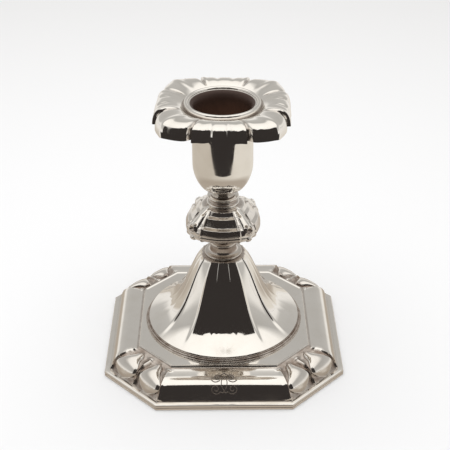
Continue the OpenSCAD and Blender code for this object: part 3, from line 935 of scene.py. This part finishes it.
def silverFinish():
    f = Finish("brightSilver")
    patches = f.between(f.cloud(9, 4, 0.6), 0.42, 0.72)
    # Darker and browner where the attribute is set: tarnish in hollows, and on the foot painted shade by the
    # lip and painted dark reflections on the gadroons
    grimeAndShade = (f.attribute("grimeAndShade") * (0.6 + 0.4 * f.between(f.cloud(4, 3), 0.35, 0.65))).clamped()
    colour = f.tint(patches * 0.35, silver["clean"], silver["dull"])
    colour = f.tint(grimeAndShade * 0.85, colour, silver["sootAndShade"])
    rubbed = f.between(f.cloud(0.5, 2, 0.6, f.stretched((1, 1, 0.12))), 0.3, 0.8)
    f.set(Base_Color=colour, Metallic=1.0,
          Roughness=silver["smooth"] + 0.05 * patches + 0.03 * rubbed + 0.30 * grimeAndShade)
    waves = f.cloud(7, 2, 0.4)
    hair = f.cloud(0.22, 2, 0.7, f.stretched((1, 1, 0.08)))
    f.set(Normal=f.bump(hair, 0.03, 0.02, f.bump(waves, 0.25, 0.05)))
    return f.material


def chasedFinish():
    f = Finish("chasedSilver")
    worn = f.between(f.cloud(2, 3), 0.35, 0.65)
    f.set(Base_Color=f.tint(worn, chased["light"], chased["dark"]), Metallic=1.0,
          Roughness=chased["rough"] + 0.1 * worn)
    f.set(Normal=f.bump(f.cloud(0.3, 2), 0.1, 0.01))
    return f.material


def tarnishedFinish():
    f = Finish("tarnishedInside")
    patches = f.between(f.cloud(6, 4, 0.6), 0.35, 0.7)
    grimeAndShade = f.attribute("grimeAndShade").clamped()
    dark = f.tint(patches, tarnish["light"], tarnish["dark"])
    towardsMouth = f.between(f.part(f.place(), "Z"), tarnish["mouthFrom"], tarnish["mouthTo"])
    dark = f.tint(towardsMouth, dark, tarnish["mouth"])
    f.set(Base_Color=f.tint(grimeAndShade, silver["clean"], dark), Metallic=1.0 - 0.85 * grimeAndShade,
          Roughness=silver["smooth"] + 0.36 * grimeAndShade + 0.06 * patches)
    f.set(Specular_IOR_Level=tarnish["gloss"], Normal=f.bump(f.cloud(0.5, 3), 0.1, 0.03))
    return f.material


def steelFinish():
    f = Finish("turnedSteel")
    patches = f.between(f.cloud(3, 3), 0.4, 0.7)
    f.set(Base_Color=f.tint(patches, steel["light"], steel["dark"]), Metallic=1.0,
          Roughness=steel["rough"] + 0.15 * patches)
    f.set(Normal=f.bump(f.cloud(0.3, 2, 0.5, f.stretched((1, 1, 6))), 0.2, 0.03))
    return f.material


def pitchFinish():
    f = Finish("castPitch")
    grains = f.cloud(1.2, 4, 0.65)
    f.set(Base_Color=f.tint(f.between(grains, 0.35, 0.7), pitch["dark"], pitch["light"]),
          Roughness=pitch["rough"] + 0.2 * grains)
    f.set(Normal=f.bump(grains, 0.5, 0.3))
    return f.material


def feltFinish():
    f = Finish("greenFelt")
    fibres = f.cloud(0.35, 4, 0.75)
    colour = f.tint(f.between(fibres, 0.3, 0.75), cloth["dark"], cloth["light"])
    colour = f.tint(f.cloud(8, 3) * 0.4, colour, cloth["worn"])
    f.set(Base_Color=colour, Roughness=cloth["rough"], Sheen_Weight=cloth["sheen"],
          Sheen_Roughness=cloth["sheen"])
    f.set(Normal=f.bump(fibres, 0.8, 0.15))
    return f.material


def coat(piece, material):
    piece.data.materials.clear()
    piece.data.materials.append(material)


def dress(piece, material, slot, body, *nodes):
    coat(piece, material)
    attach(piece, body)
    if nodes:
        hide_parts(*nodes)


setCamera()
setStage()
print("stage set")

baseShell, footWire = buildFoot()
borderScroll = buildScroll()
feltPad = buildFelt()
print("foot made")
columnShell, domeRing = buildColumn()
lowerCollar, spoolCollar, socketFoot = buildLowerCollar(), buildSpool(), buildSocketFoot()
print("column made")
knopLower, knopUpper = buildKnop()
socketCup = buildSocket()
nozzleSleeve, nozzleBead, nozzlePan = buildNozzle()
print("knop, socket and nozzle made")

brightSilver = silverFinish()
tarnished = tarnishedFinish()
for piece, node in ((baseShell, "base_shell"), (footWire, "foot_wire"), (columnShell, "column_shell"),
                    (lowerCollar, "lower_collar"), (knopLower, "knop_lower"), (knopUpper, "knop_upper"),
                    (spoolCollar, "spool_collar"), (socketFoot, "socket_foot"), (socketCup, "socket_cup")):
    dress(piece, brightSilver, "silver", "stand", node)
dress(domeRing, brightSilver, "tarnished_silver", "stand", "dome_ring")
dress(nozzleBead, brightSilver, "silver", "nozzle", "nozzle_bead")
dress(nozzlePan, brightSilver, "silver", "nozzle", "nozzle_pan")
dress(nozzleSleeve, tarnished, "tarnished_silver", "nozzle", "nozzle_sleeve")
dress(feltPad, feltFinish(), "felt", "stand", "felt_pad")
dress(borderScroll, chasedFinish(), "silver", "stand")
turnedSteel = steelFinish()
for name in ("closing_plate", "load_washer", "bottom_nut", "tie_rod", "knop_spacer", "socket_washer",
             "top_nut"):
    coat(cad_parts[name], turnedSteel)
coat(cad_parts["pitch_filler"], pitchFinish())
print("finishes on")
